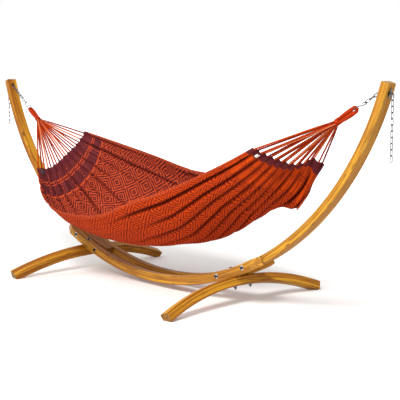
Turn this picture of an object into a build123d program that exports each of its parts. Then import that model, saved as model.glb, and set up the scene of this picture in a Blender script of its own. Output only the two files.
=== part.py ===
from build123d import *
import math
import os

# Hammock on a bowed wooden stand. Millimetres and degrees, +X along the stand, +Z up, ground at Z = 0.

# Low rails: two arcs side by side
rail_radius = 1813.0
rail_clearance = 25.0
rail_depth = 50.0
rail_width = 45.0
rail_half_angle = 27.8
rail_bevel_length = 66.0
rail_bevel_depth = 33.0
beam_rounding = 6.0

# Arms: held between the rails, then bending up more tightly
arm_width = 65.0
arm_depth = 42.0
arm_lift = 8.0
arm_radius = 1540.0
arm_root_angle = 16.0
arm_bend_angle = 25.5
arm_top_angle = 72.8
arm_top_chamfer = 7.0
side_gap = 0.1

# Cross feet: arches that lean with the rails
foot_angle = 20.7
foot_width = 60.0
foot_depth = 50.0
foot_radius = 1433.0
foot_half_span = 557.0
foot_seat = 3.0
seat_sweep = 8.0
spot_margin = 1.0
seat_gap = 0.1

# Bolts through the wood
bolt_diameter = 10.0
bolt_play = 0.2
cross_bolt_angles = (17.5, 24.0)
counterbore_diameter = 28.0
counterbore_depth = 4.0
cross_washer_diameter = 26.0
washer_diameter = 24.0
washer_thickness = 2.0
head_diameter = 16.0
head_height = 7.0
socket_width = 8.0
socket_depth = 4.0
nut_width = 17.0
nut_height = 8.0
bolt_stub = 8.0
foot_head_diameter = 22.0
foot_head_height = 6.0
contact_gap = 0.1

# Chains
link_wire = 4.0
link_length = 28.0
link_inner_width = 8.0
link_gap = 0.3
chain_hole_diameter = 28.0
chain_hole_drop = 44.0
stop_pin_length = 46.0
hanging_links = {"left": 7, "right": 4}
spare_links = {"left": 8, "right": 10}

# S hooks and the loops at the hammock's ends
hook_rod = 5.0
hook_radius = 18.0
hook_sweep = 250.0
loop_tube = 15.0
loop_radius = 11.5
loop_length = {"left": 123.5, "right": 134.2}
loop_leg_gap = 0.6
hang_angle = {"left": 36.3, "right": 29.9}
binding_length = 18.0
binding_wall = 1.5
binding_gap = 0.3
binding_floor = 3.0

# Suspension cords, in columns and rows where they gather
cord_diameter = 5.0
cord_pitch = 5.3
cord_rows = 4
end_gap = 0.3

# Cloth: stations along the length, chosen by eye, each with a near hem, a low line and a far hem
cloth_thickness = 2.5
cloth_folds = 10
cloth_stations = [
    # x, skew of the section, near (y, z), low (y, z), far (y, z), depth of the folds
    (-950, 0.00, (-215, 624), (-130, 608), (157, 838), 8.0),
    (-800, 0.00, (-285, 490), (-150, 420), (205, 800), 6.0),
    (-600, 0.00, (-340, 420), (-140, 310), (232, 758), 4.0),
    (-350, 0.00, (-368, 405), (-90, 245), (250, 709), 2.0),
    (-80, 0.00, (-380, 433), (-20, 222), (290, 644), 1.0),
    (150, 0.00, (-372, 515), (40, 248), (305, 620), 1.5),
    (400, 0.00, (-345, 597), (90, 310), (310, 580), 4.0),
    (650, 0.20, (-285, 680), (100, 470), (270, 520), 7.0),
    (850, 0.38, (-215, 772), (30, 640), (175, 535), 9.0),
    (970, 0.38, (-170, 848), (70, 750), (200, 765), 8.0),
]
tab_width = {"left": 24.0, "right": 14.0}
tab_length = {"left": 38.0, "right": 22.0}
tab_thickness = 1.2
tab_inset = 14.0
tab_gap = 0.4
tab_fold = {"left": 1, "right": 2}

rail_centre_z = rail_clearance + rail_depth / 2 + rail_radius
arm_low_radius = rail_radius - arm_lift
bolt_hole = bolt_diameter + 2 * bolt_play
side_sign = {"left": -1, "right": 1}
parts = {}


def polar(centre, radius, angle):
    """Point at an angle from straight down, turning towards +X, in the plane Y = 0."""
    turn = math.radians(angle)
    return Vector(centre.X + radius * math.sin(turn), 0, centre.Z - radius * math.cos(turn))


def outward(angle):
    turn = math.radians(angle)
    return Vector(math.sin(turn), 0, -math.cos(turn))


def tangent(angle):
    turn = math.radians(angle)
    return Vector(math.cos(turn), 0, math.sin(turn))


rail_centre = Vector(0, 0, rail_centre_z)
arm_centre = rail_centre + outward(arm_bend_angle) * (arm_low_radius - arm_radius)


def bent_beam(centre, radius, width, depth, start, end):
    """Rounded bar bent on an arc about an axis along Y, between two angles from straight down."""
    plane = Plane(origin=polar(centre, radius, start), x_dir=(0, 1, 0), z_dir=tangent(start))
    section = plane * RectangleRounded(width, depth, beam_rounding)
    return revolve(section, Axis(centre, (0, -1, 0)), end - start)


def rod(start, end, diameter):
    """Round bar between two points."""
    run = end - start
    return Plane(origin=start, z_dir=run) * Cylinder(
        diameter / 2, run.length, align=(Align.CENTER, Align.CENTER, Align.MIN)
    )


def disc(start, direction, diameter, height):
    return rod(start, start + direction.normalized() * height, diameter)


def ring(start, direction, diameter, bore, height):
    return disc(start, direction, diameter, height) - disc(start, direction, bore, height)


def hexagon(start, direction, across_flats, height):
    section = RegularPolygon(across_flats / 2, 6, major_radius=False)
    return Plane(origin=start, z_dir=direction) * extrude(section, height)


def mirrored(shape):
    return mirror(shape, Plane.YZ)


def both_ends(name, shape):
    """The right-hand piece is drawn, and the left-hand one is its mirror image."""
    parts[name + "_right"] = shape
    parts[name + "_left"] = mirrored(shape)


# Bolt places, right-hand end
cross_bolt_radius = rail_radius - arm_lift / 2
cross_bolt_points = [polar(rail_centre, cross_bolt_radius, angle) for angle in cross_bolt_angles]
rail_inner_y = arm_width / 2 + side_gap
rail_outer_y = rail_inner_y + rail_width
rail_middle_y = (rail_inner_y + rail_outer_y) / 2
bolt_seat = rail_outer_y - counterbore_depth
across = Vector(0, 1, 0)
foot_out = outward(foot_angle)


def make_rail():
    """One rail on the +Y side, with bevelled ends, counterbored cross holes and upright foot holes."""
    beam = bent_beam(rail_centre, rail_radius, rail_width, rail_depth, -rail_half_angle, rail_half_angle)
    beam = Pos(0, rail_middle_y, 0) * beam
    end_point = polar(rail_centre, rail_radius, rail_half_angle)
    end_plane = Plane(origin=end_point, x_dir=tangent(rail_half_angle), z_dir=-outward(rail_half_angle))
    corner = Polyline(
        (-rail_bevel_length, rail_outer_y),
        (rail_bevel_length, rail_outer_y - 2 * rail_bevel_depth),
        (rail_bevel_length, rail_outer_y + rail_bevel_depth),
        (-rail_bevel_length, rail_outer_y + rail_bevel_depth),
        close=True,
    )
    tools = [end_plane * extrude(make_face(corner), rail_depth, both=True)]
    for point in cross_bolt_points:
        tools.append(disc(point, across, bolt_hole, rail_outer_y))
        tools.append(disc(point + across * bolt_seat, across, counterbore_diameter, rail_width))
    for tool in tools:
        beam = beam - tool - mirrored(tool)
    start = polar(rail_centre, rail_radius - rail_depth, foot_angle) + across * rail_middle_y
    upright = disc(start, foot_out, bolt_hole, 2 * rail_depth)
    return beam - upright - mirrored(upright)


# Rails
rear_rail = make_rail()
parts["rail_rear"] = rear_rail
parts["rail_front"] = mirror(rear_rail, Plane.XZ)

# Arms
hole_angle = arm_top_angle - math.degrees(chain_hole_drop / arm_radius)
hole_out = outward(hole_angle)
hole_up = tangent(hole_angle)
arm_inner = polar(arm_centre, arm_radius - arm_depth / 2, hole_angle)
arm_outer = polar(arm_centre, arm_radius + arm_depth / 2, hole_angle)


def make_arm():
    lower = bent_beam(rail_centre, arm_low_radius, arm_width, arm_depth, arm_root_angle, arm_bend_angle)
    upper = bent_beam(arm_centre, arm_radius, arm_width, arm_depth, arm_bend_angle, arm_top_angle)
    top_face = upper.faces().sort_by(Axis.Z)[-1]
    upper = chamfer(top_face.edges(), arm_top_chamfer / 2)
    arm = lower + upper
    for point in cross_bolt_points:
        arm = arm - disc(point - across * arm_width, across, bolt_hole, 2 * arm_width)
    return arm - disc(arm_inner - hole_out * arm_depth, hole_out, chain_hole_diameter, 3 * arm_depth)


both_ends("arm", make_arm())

# Feet
foot_top = polar(rail_centre, rail_radius + rail_depth / 2, foot_angle)
foot_plane = Plane(origin=foot_top, x_dir=tangent(foot_angle), z_dir=-foot_out)
foot_bolt_points = [foot_top + across * rail_middle_y, foot_top - across * rail_middle_y]


def arch_height(radius, offset):
    return math.sqrt(radius**2 - offset**2)


foot_arc_z = foot_seat - foot_depth / 2 - foot_radius
spot_radius = washer_diameter / 2 + spot_margin
spot_crest = arch_height(foot_radius - foot_depth / 2, rail_middle_y - spot_radius)
spot_under = foot_arc_z + spot_crest + spot_margin


def make_foot():
    """Arched foot, seated under both rails, spot-faced for the nuts and cut flat on the ground."""
    half_angle = math.degrees(math.asin(foot_half_span / foot_radius))
    turn = math.radians(half_angle)
    start = Vector(0, -foot_radius * math.sin(turn), foot_arc_z + foot_radius * math.cos(turn))
    end_plane = Plane(origin=start, x_dir=(1, 0, 0), z_dir=(0, math.cos(turn), math.sin(turn)))
    section = end_plane * RectangleRounded(foot_width, foot_depth, beam_rounding)
    arch = foot_plane * revolve(section, Axis((0, 0, foot_arc_z), (-1, 0, 0)), 2 * half_angle)
    arch = split(arch, Plane.XY, keep=Keep.TOP)
    seat_angle = foot_angle - seat_sweep / 2
    seat_start = polar(rail_centre, rail_radius + seat_gap, seat_angle)
    seat_plane = Plane(origin=seat_start, x_dir=(0, 1, 0), z_dir=tangent(seat_angle))
    seat = seat_plane * Rectangle(2 * (rail_outer_y + side_gap), rail_depth)
    arch = arch - revolve(seat, Axis(rail_centre, (0, -1, 0)), seat_sweep)
    for point in foot_bolt_points:
        arch = arch - disc(point - foot_out * foot_depth, foot_out, bolt_hole, 3 * foot_depth)
        arch = arch - disc(point - foot_out * spot_under, foot_out, 2 * spot_radius, foot_depth)
    return arch


both_ends("foot", make_foot())

# Cross bolts, with heads in the front rail and nuts in the rear rail
head_seat = bolt_seat + washer_thickness + 2 * contact_gap


def cross_bolt(point):
    head = disc(point - across * head_seat, -across, head_diameter, head_height)
    socket_start = point - across * (head_seat + head_height)
    head = head - hexagon(socket_start, across, socket_width, socket_depth)
    return head + disc(point - across * head_seat, across, bolt_diameter, 2 * head_seat + nut_height)


def cross_washers(point):
    place = bolt_seat + contact_gap
    return [
        ring(point + across * place * way, across * way, cross_washer_diameter, bolt_hole, washer_thickness)
        for way in (-1, 1)
    ]


def cross_nut(point):
    start = point + across * head_seat
    return hexagon(start, across, nut_width, nut_height) - disc(start, across, bolt_hole, nut_height)


def grouped(shapes):
    """The given right-hand solids and their mirror images, as separate solids."""
    return Compound(children=[*shapes, *[mirrored(shape) for shape in shapes]])


parts["cross_bolts"] = grouped([cross_bolt(point) for point in cross_bolt_points])
parts["cross_bolt_washers"] = grouped([w for point in cross_bolt_points for w in cross_washers(point)])
parts["cross_bolt_nuts"] = grouped([cross_nut(point) for point in cross_bolt_points])

# Foot bolts, with domed heads on the rails and nuts under the feet
foot_nut_seat = -spot_under + washer_thickness + 2 * contact_gap
rail_top_drop = rail_depth + contact_gap


def foot_bolt(point):
    shank_start = point - foot_out * (rail_top_drop + washer_thickness + contact_gap)
    shank = rod(shank_start, point + foot_out * (foot_nut_seat + nut_height + bolt_stub), bolt_diameter)
    dome_radius = (foot_head_diameter**2 / 4 + foot_head_height**2) / (2 * foot_head_height)
    ball = Pos(shank_start + foot_out * (dome_radius - foot_head_height)) * Sphere(dome_radius)
    return shank + (ball & disc(shank_start, -foot_out, 2 * foot_head_diameter, foot_head_height))


def foot_washers(point):
    upper = point - foot_out * rail_top_drop
    lower = point + foot_out * (contact_gap - spot_under)
    return [
        ring(upper, -foot_out, washer_diameter, bolt_hole, washer_thickness),
        ring(lower, foot_out, washer_diameter, bolt_hole, washer_thickness),
    ]


def foot_nut(point):
    start = point + foot_out * foot_nut_seat
    return hexagon(start, foot_out, nut_width, nut_height) - disc(start, foot_out, bolt_hole, nut_height)


parts["foot_bolts"] = grouped([foot_bolt(point) for point in foot_bolt_points])
parts["foot_bolt_washers"] = grouped([w for point in foot_bolt_points for w in foot_washers(point)])
parts["foot_bolt_nuts"] = grouped([foot_nut(point) for point in foot_bolt_points])

# Chains
link_bend = (link_inner_width + link_wire) / 2
link_straight = link_length - link_inner_width
link_pitch = link_length - link_gap
link_half = (link_length + link_wire) / 2
stop_pin_diameter = link_inner_width - 2 * contact_gap


def make_link():
    """Welded chain link, long way along Z and wide along X."""
    wire = Circle(link_wire / 2)
    bend = revolve(Pos(link_bend, 0) * wire, Axis((0, 0, 0), (0, -1, 0)), 180)
    top = Pos(0, 0, link_straight / 2) * bend
    bottom = mirror(top, Plane.XY)
    sides = [Pos(x, 0, 0) * Cylinder(link_wire / 2, link_straight) for x in (-link_bend, link_bend)]
    return top + sides[0] + sides[1] + bottom


link = make_link()


def chain(start, direction, wide, count):
    """Links in line from the first link's centre, every other one a quarter turn round."""
    turned = direction.cross(wide)
    links = []
    for index in range(count):
        place = start + direction * (link_pitch * index)
        links.append(Plane(origin=place, x_dir=(wide, turned)[index % 2], z_dir=direction) * link)
    return links


# Two links lie in each arm's hole, and a pin across the outer one stops it at the arm's back
stop_centre = arm_outer + hole_out * (contact_gap + stop_pin_diameter / 2)
tail_reach = stop_pin_diameter / 2 + 2 * link_bend - link_wire / 2
tail_hinge = stop_centre + hole_out * tail_reach
anchor_start = tail_hinge - hole_out * link_half
both_ends("anchor_links", Compound(children=chain(anchor_start, -hole_out, across, 2)))
pin_reach = hole_up * (stop_pin_length / 2)
both_ends("stop_pin", rod(stop_centre - pin_reach, stop_centre + pin_reach, stop_pin_diameter))
anchor_bearing = anchor_start - hole_out * (link_pitch + link_length / 2)

# Spare chain behind each arm, hanging from the outer link
down = Vector(0, 0, -1)
tail_centre = tail_hinge + down * (link_length / 2 - link_wire / 2 - link_gap)
both_ends("tail_link", Plane(origin=tail_centre, x_dir=(1, 0, 0), z_dir=down) * link)
spare_start = tail_centre + down * link_pitch
for side, count in spare_links.items():
    spare = Compound(children=chain(spare_start, down, across, count))
    parts["spare_chain_" + side] = spare if side == "right" else mirrored(spare)


def make_hook():
    """S hook in the plane of X and Z, its two bends meeting at the origin."""
    section = Plane.YZ * Circle(hook_rod / 2)
    bends = [revolve(section, Axis((0, 0, z), (0, -1, 0)), hook_sweep) for z in (hook_radius, -hook_radius)]
    return bends[0] + bends[1]


loop_neck_half = (loop_tube + loop_leg_gap) / 2


def loop_lean(length):
    """Angle of each leg to the loop's middle line, where it leaves the round end as a tangent."""
    reach = length - loop_radius
    slant = math.hypot(reach, loop_neck_half)
    return math.asin(loop_radius / slant) - math.atan2(loop_neck_half, reach)


def make_loop(length):
    """Teardrop loop of bundled cord in the plane of X and Z: tip at the origin, legs along -Z."""
    lean = loop_lean(length)
    joint = Vector(loop_radius * math.cos(lean), 0, -loop_radius - loop_radius * math.sin(lean))
    leg = Vector(-math.tan(lean), 0, -1) * (length + joint.Z - loop_tube / 2 * math.sin(lean))
    foot = joint + leg
    other_joint = Vector(-joint.X, 0, joint.Z)
    other_foot = Vector(-foot.X, 0, foot.Z)
    path = Line(foot, joint) + ThreePointArc(joint, (0, 0, 0), other_joint) + Line(other_joint, other_foot)
    return sweep(Plane(origin=foot, z_dir=joint - foot) * Circle(loop_tube / 2), path)


def make_binding(length):
    """Wrapped neck: a sleeve over the loop's legs, closed by the floor that the cords leave from."""
    bore = loop_tube + 2 * (loop_neck_half + binding_length * math.tan(loop_lean(length)) + binding_gap)
    width = bore + 2 * binding_wall
    sleeve = ring(Vector(0, 0, 0), Vector(0, 0, 1), width, bore, binding_length)
    floor = disc(Vector(0, 0, -end_gap), Vector(0, 0, -1), width, binding_floor)
    return sleeve + floor + ring(Vector(0, 0, -end_gap), Vector(0, 0, 1), width, bore, end_gap)


def base_point(station, share):
    """Point, upward normal and depth of the folds on a cloth section, at a share of its width."""
    x, skew, near, low, far, depth = station
    arcs = []
    for end in (near, far):
        run = end[0] - low[0]
        rise = end[1] - low[1]
        radius = (run**2 + rise**2) / (2 * rise)
        arcs.append((radius, 2 * math.atan2(rise, abs(run)), math.copysign(1, run)))
    near_width = arcs[0][0] * arcs[0][1]
    far_width = arcs[1][0] * arcs[1][1]
    place = share * (near_width + far_width) - near_width
    radius, sweep, way = arcs[0] if place < 0 else arcs[1]
    turn = abs(place) / radius
    y = low[0] + way * radius * math.sin(turn)
    z = low[1] + radius * (1 - math.cos(turn))
    normal = (-way * math.sin(turn), math.cos(turn))
    return x, skew, y, z, normal, depth


def cloth_point(station, share, raise_by):
    x, skew, y, z, normal, depth = base_point(station, share)
    y = y + normal[0] * raise_by
    z = z + normal[1] * raise_by
    return Vector(x + skew * y, y, z)


cloth_waves = 2 * cloth_folds


def cloth_line(station, lift):
    """Wavy line of arcs across the cloth, one arc to each half fold."""
    depth = station[5]
    arcs = []
    for index in range(cloth_waves):
        shares = [(index + step) / cloth_waves for step in (0, 0.5, 1)]
        crest = depth if index % 2 else -depth
        arcs.append(
            ThreePointArc(
                cloth_point(station, shares[0], lift),
                cloth_point(station, shares[1], lift + crest),
                cloth_point(station, shares[2], lift),
            )
        )
    return arcs


def cloth_section(station):
    top = cloth_line(station, cloth_thickness / 2)
    under = cloth_line(station, -cloth_thickness / 2)
    hems = [Line(top[0] @ 0, under[0] @ 0), Line(top[-1] @ 1, under[-1] @ 1)]
    return make_face(top + [hems[1]] + under + [hems[0]])


parts["hammock_cloth"] = loft([cloth_section(station) for station in cloth_stations], ruled=True)


def butted(start, run, face_normal, half_width):
    """Point short of a face by the end gap, for a bar that meets the face on a slant."""
    square = abs(run.dot(face_normal))
    slant = math.sqrt(max(0, 1 - square**2))
    return start - run * ((end_gap + half_width * slant) / square)


def end_normal(station):
    return Vector(1, -station[1], 0).normalized()


def make_cords(neck, line, station):
    """Taut cords from the gathered neck, in columns and rows, to the cloth's end."""
    stack = line.cross(across)
    columns = math.ceil(cloth_waves / cord_rows)
    cords = []
    for index in range(cloth_waves):
        column = index // cord_rows - (columns - 1) / 2
        row = index % cord_rows - (cord_rows - 1) / 2
        start = neck + across * (column * cord_pitch) + stack * (row * cord_pitch)
        crest = station[5] if index % 2 else -station[5]
        end = cloth_point(station, (index + 0.5) / cloth_waves, crest)
        run = (end - start).normalized()
        first = butted(start, -run, line, cord_diameter / 2)
        last = butted(end, run, end_normal(station), cord_diameter / 2)
        cords.append(rod(first, last, cord_diameter))
    return Compound(children=cords)


def make_tab(stations, side):
    """Blank tab sewn flat on the crest of a half fold, a little way in from the cloth's end."""
    index = tab_fold[side]
    share = (index + 0.5) / cloth_waves
    way = 1 if index % 2 else -1
    crests = [cloth_point(station, share, way * (station[5] + cloth_thickness / 2)) for station in stations]
    sides = [cloth_point(stations[0], share + step / cloth_waves, 0) for step in (-0.5, 0.5)]
    along = (crests[1] - crests[0]).normalized()
    plane = Plane(origin=crests[0], x_dir=along, z_dir=along.cross(sides[1] - sides[0]))
    outer = plane.z_dir.dot(cloth_point(stations[0], share, way) - cloth_point(stations[0], share, 0))
    lift = math.copysign(tab_gap + tab_thickness / 2, outer)
    tab = Box(tab_length[side], tab_width[side], tab_thickness)
    return plane * Pos(tab_inset + tab_length[side] / 2, 0, lift) * tab


# The hammock hangs on two straight lines from the arms
hook = make_hook()
hook_bearing = 2 * hook_radius - hook_rod / 2
for side, sign in side_sign.items():
    angle = math.radians(hang_angle[side])
    pivot = Vector(sign * anchor_bearing.X, 0, anchor_bearing.Z)
    line = Vector(-sign * math.cos(angle), 0, -math.sin(angle))
    upright = line.cross(across)
    count = hanging_links[side]
    hole_line = Vector(sign * hole_out.X, 0, hole_out.Z)
    first = pivot + hole_line * (link_wire / 2 + link_gap) + line * link_half
    parts["hanging_chain_" + side] = Compound(children=chain(first, line, across, count))

    # The hook lies across the last link, and the loop across the hook
    link_end = first + line * (link_pitch * (count - 1) + link_length / 2)
    hook_middle = link_end + line * (hook_bearing - link_gap)
    last_wide = across if count % 2 else upright
    hook_wide = last_wide.cross(line)
    parts["s_hook_" + side] = Plane(origin=hook_middle, x_dir=hook_wide, z_dir=-line) * hook
    tip = hook_middle + line * (hook_bearing - link_gap - loop_tube / 2)
    loop_wide = line.cross(hook_wide)
    length = loop_length[side]
    parts["end_loop_" + side] = Plane(origin=tip, x_dir=loop_wide, z_dir=-line) * make_loop(length)

    # Binding round the neck, where the loop's legs meet the cords
    neck = tip + line * length
    parts["neck_binding_" + side] = Plane(origin=neck, x_dir=across, z_dir=-line) * make_binding(length)
    fan = neck + line * (end_gap + binding_floor)
    stations = cloth_stations if side == "left" else cloth_stations[::-1]
    parts["suspension_cords_" + side] = make_cords(fan, line, stations[0])
    parts["label_tab_" + side] = make_tab(stations[:2], side)
    print(side, "pivot", pivot, "neck", neck)

print("tail hinge", tail_hinge, "second hinge", tail_centre + down * link_half)
os.makedirs("parts", exist_ok=True)
for name, shape in parts.items():
    export_step(shape, f"parts/{name}.step")
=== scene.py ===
import math
import bpy
import numpy as np
from mathutils import Matrix, Vector


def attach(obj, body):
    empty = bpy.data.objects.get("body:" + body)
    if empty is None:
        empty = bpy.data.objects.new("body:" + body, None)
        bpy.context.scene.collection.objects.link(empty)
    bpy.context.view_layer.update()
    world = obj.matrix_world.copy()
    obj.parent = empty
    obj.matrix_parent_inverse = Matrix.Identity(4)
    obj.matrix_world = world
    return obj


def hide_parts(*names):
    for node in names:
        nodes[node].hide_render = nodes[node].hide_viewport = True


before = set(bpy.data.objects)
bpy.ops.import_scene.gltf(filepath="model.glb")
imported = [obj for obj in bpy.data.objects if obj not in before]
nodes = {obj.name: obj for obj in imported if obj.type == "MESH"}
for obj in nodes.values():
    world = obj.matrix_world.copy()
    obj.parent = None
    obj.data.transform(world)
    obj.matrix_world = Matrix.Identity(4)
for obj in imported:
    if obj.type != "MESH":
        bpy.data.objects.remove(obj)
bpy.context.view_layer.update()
sideSign = {"left": -1, "right": 1}
yAxis = np.array([0.0, 1.0, 0.0])
print("frame loaded:", len(nodes), "nodes")


def unit(v):
    return v / np.linalg.norm(v, axis=-1, keepdims=True)


def eased(value):  # smooth step, flat at 0 and at 1
    value = np.clip(value, 0, 1)
    return value**2 * (3 - 2 * value)


def runLength(path):  # how far along a path each of its points lies
    return np.concatenate([[0], np.cumsum(np.linalg.norm(np.diff(path, axis=0), axis=1))])


def screenColor(r, g, b):  # 0-255 screen colour as the linear colour that nodes take
    c = np.array([r, g, b]) / 255
    c = np.where(c > 0.04045, ((c + 0.055) / 1.055) ** 2.4, c / 12.92)
    return (*c.tolist(), 1.0)


def join(tree, value, socket):  # a socket is linked, a plain value is set
    if hasattr(value, "is_output"):
        tree.links.new(value, socket)
    else:
        socket.default_value = value


def add(tree, kind, inputs=None, **settings):
    node = tree.nodes.new("ShaderNode" + kind)
    for key, value in settings.items():
        setattr(node, key, value)
    for key, value in (inputs or {}).items():
        join(tree, value, node.inputs[key])
    return node


def calc(tree, operation, *values):
    return add(tree, "Math", dict(enumerate(values)), operation=operation).outputs[0]


def mixColor(tree, factor, first, second):
    return add(tree, "Mix", {0: factor, 6: first, 7: second}, data_type="RGBA").outputs[2]


def tinted(tree, color, mask, tint, share):  # a tint laid over a colour, by a mask and at most by its share
    return mixColor(tree, calc(tree, "MULTIPLY", mask, share), color, screenColor(*tint))


def soften(tree, value, low, high, start=0.0, end=1.0):  # smooth step from start to end between low and high
    inputs = {"Value": value, "From Min": low, "From Max": high, "To Min": start, "To Max": end}
    return add(tree, "MapRange", inputs, interpolation_type="SMOOTHSTEP").outputs[0]


def newGroup(name, inputs, outputs):
    tree = bpy.data.node_groups.new(name, "ShaderNodeTree")
    for label, kind in inputs.items():
        tree.interface.new_socket(label, in_out="INPUT", socket_type="NodeSocket" + kind)
    for label, kind in outputs.items():
        tree.interface.new_socket(label, in_out="OUTPUT", socket_type="NodeSocket" + kind)
    return tree, tree.nodes.new("NodeGroupInput").outputs, tree.nodes.new("NodeGroupOutput").inputs


def useGroup(tree, group, inputs):
    node = add(tree, "Group", node_tree=group)
    for key, value in inputs.items():
        join(tree, value, node.inputs[key])
    return node.outputs


def newMaterial(name):
    material = bpy.data.materials.new(name)
    material.use_nodes = True
    tree = material.node_tree
    return material, tree, tree.nodes["Principled BSDF"]


bumpStrength = 0.6


def finishSurface(tree, shader, color, roughness, height, distance):
    join(tree, color, shader.inputs["Base Color"])
    join(tree, roughness, shader.inputs["Roughness"])
    bump = add(tree, "Bump", {"Height": height, "Strength": bumpStrength, "Distance": distance})
    join(tree, bump.outputs[0], shader.inputs["Normal"])


def dressNode(name, material):  # a CAD node's own solid, in its finish
    nodes[name].data.materials.clear()
    nodes[name].data.materials.append(material)


# Object coordinates of a bar bent on an arc: length along the arc, place across, depth from the middle line
def makeBentBeam():
    tree, given, made = newGroup("bentBeam", {"Vector": "Vector", "Radius": "Float"}, {"Vector": "Vector"})
    x, y, z = add(tree, "SeparateXYZ", {0: given["Vector"]}).outputs
    angle = calc(tree, "ARCTAN2", x, calc(tree, "MULTIPLY", z, -1.0))
    along = calc(tree, "MULTIPLY", angle, given["Radius"])
    reach = calc(tree, "SQRT", calc(tree, "ADD", calc(tree, "MULTIPLY", x, x), calc(tree, "MULTIPLY", z, z)))
    depth = calc(tree, "SUBTRACT", reach, given["Radius"])
    join(tree, add(tree, "CombineXYZ", {0: along, 1: y, 2: depth}).outputs[0], made["Vector"])
    return tree


woodLook = {
    "streak": (0.8, 20.0, 1.3, 4.0, 0.5),  # noises: scale along and across the grain, size, detail, distortion
    "fibre": (5.0, 330.0, 1.0, 3.0, 0.2),
    "patch": (1.5, 3.0, 1.0, 2.0, 0.0),
    "rings": 8.0,  # rings over the range of a streak
    "layerShift": 9.0,  # how far the grain of two layers can lie apart
    "knotCells": (8.0, 15.0),  # in a metre along and across
    "knotless": 0.25,  # share of the cells without a knot
    "edges": {  # smooth step of each mask: from, to, and its values there where it falls
        "streak": (0.36, 0.64),
        "ring": (0.02, 0.34, 1.0, 0.0),
        "patch": (0.45, 0.75),
        "fibre": (0.3, 0.8),
        "knot": (0.07, 0.2, 1.0, 0.0),
        "glue": (0.455, 0.49),
        "sawn": (0.0, 0.5),
    },
    "pale": (226, 166, 40),
    "deep": (158, 92, 8),
    "tints": {  # colour and the most that it covers
        "ring": ((130, 68, 8), 0.95),
        "patch": ((196, 146, 48), 0.35),
        "fibre": ((140, 80, 26), 0.3),
        "layer": ((146, 86, 20), 0.28),
        "knot": ((88, 46, 12), 0.8),
        "glue": ((92, 52, 18), 0.6),
    },
    "sawnDark": (104, 66, 24),
    "sawnPale": (158, 122, 66),
    "sawnShare": 0.85,
    "sawnFrom": 0.3,  # a face counts as sawn across the grain from this squareness on
    "sawnOver": 0.5,
    "roughness": (0.2, 0.8, 0.38, 0.58),
    "fibreRelief": 0.4,
    "ringRelief": 0.25,
    "bump": 0.0006,
    "coat": 0.02,
    "coatRoughness": 0.35,
    "specular": 0.12,
}


# Glued layers of softwood: each layer has its own tone and grain, with a thin dark line between layers.
# A few knots lie in them, and rings show where a face is sawn across the grain
def makeWoodGrain():
    tree, given, made = newGroup(
        "woodGrain",
        {"Vector": "Vector", "Layer": "Float", "Seed": "Float", "End": "Float"},
        {"Color": "Color", "Roughness": "Float", "Height": "Float"},
    )
    along, across, depth = add(tree, "SeparateXYZ", {0: given["Vector"]}).outputs
    level = calc(tree, "ADD", calc(tree, "DIVIDE", depth, given["Layer"]), 0.5)
    layer = calc(tree, "ADD", calc(tree, "FLOOR", level), given["Seed"])
    tone = add(tree, "TexWhiteNoise", {"W": layer}, noise_dimensions="1D").outputs["Value"]
    shift = calc(tree, "MULTIPLY_ADD", tone, woodLook["layerShift"], given["Seed"])

    def drawnOut(alongScale, acrossScale, depthShift):  # a spot in the bar, stretched along the grain
        spot = {
            0: calc(tree, "MULTIPLY_ADD", along, alongScale, shift),
            1: calc(tree, "MULTIPLY", across, acrossScale),
            2: calc(tree, "MULTIPLY_ADD", depth, acrossScale, depthShift),
        }
        return add(tree, "CombineXYZ", spot).outputs[0]

    def grainNoise(alongScale, acrossScale, size, detail, distortion):
        vector = drawnOut(alongScale, acrossScale, shift)
        inputs = {"Vector": vector, "Scale": size, "Detail": detail, "Distortion": distortion}
        return add(tree, "TexNoise", inputs).outputs[0]

    def masked(name, value):
        return soften(tree, value, *woodLook["edges"][name])

    streak, fibre, patch = (grainNoise(*woodLook[key]) for key in ("streak", "fibre", "patch"))
    rings = calc(tree, "PINGPONG", calc(tree, "MULTIPLY", streak, woodLook["rings"]), 0.5)
    late = masked("ring", rings)
    cell = add(tree, "TexVoronoi", {"Vector": drawnOut(*woodLook["knotCells"], 0.0), "Scale": 1.0}).outputs
    chance = add(tree, "SeparateColor", {0: cell["Color"]}).outputs[0]
    chosen = calc(tree, "GREATER_THAN", chance, woodLook["knotless"])
    knot = calc(tree, "MULTIPLY", masked("knot", cell["Distance"]), chosen)
    fromMiddle = calc(tree, "ABSOLUTE", calc(tree, "SUBTRACT", calc(tree, "FRACT", level), 0.5))
    glue = masked("glue", fromMiddle)
    color = mixColor(
        tree, masked("streak", streak), screenColor(*woodLook["pale"]), screenColor(*woodLook["deep"])
    )
    masks = {
        "ring": late,
        "patch": masked("patch", patch),
        "fibre": masked("fibre", fibre),
        "layer": tone,
        "knot": knot,
        "glue": glue,
    }
    for name, mask in masks.items():
        color = tinted(tree, color, mask, *woodLook["tints"][name])
    sawn = mixColor(
        tree, masked("sawn", rings), screenColor(*woodLook["sawnDark"]), screenColor(*woodLook["sawnPale"])
    )
    color = mixColor(tree, calc(tree, "MULTIPLY", given["End"], woodLook["sawnShare"]), color, sawn)
    join(tree, color, made["Color"])
    join(tree, soften(tree, fibre, *woodLook["roughness"]), made["Roughness"])
    raised = calc(tree, "MULTIPLY", fibre, woodLook["fibreRelief"])
    relief = calc(tree, "SUBTRACT", raised, calc(tree, "MULTIPLY", late, woodLook["ringRelief"]))
    join(tree, calc(tree, "SUBTRACT", relief, glue), made["Height"])
    return tree


bentBeam = makeBentBeam()
woodGrain = makeWoodGrain()

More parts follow.
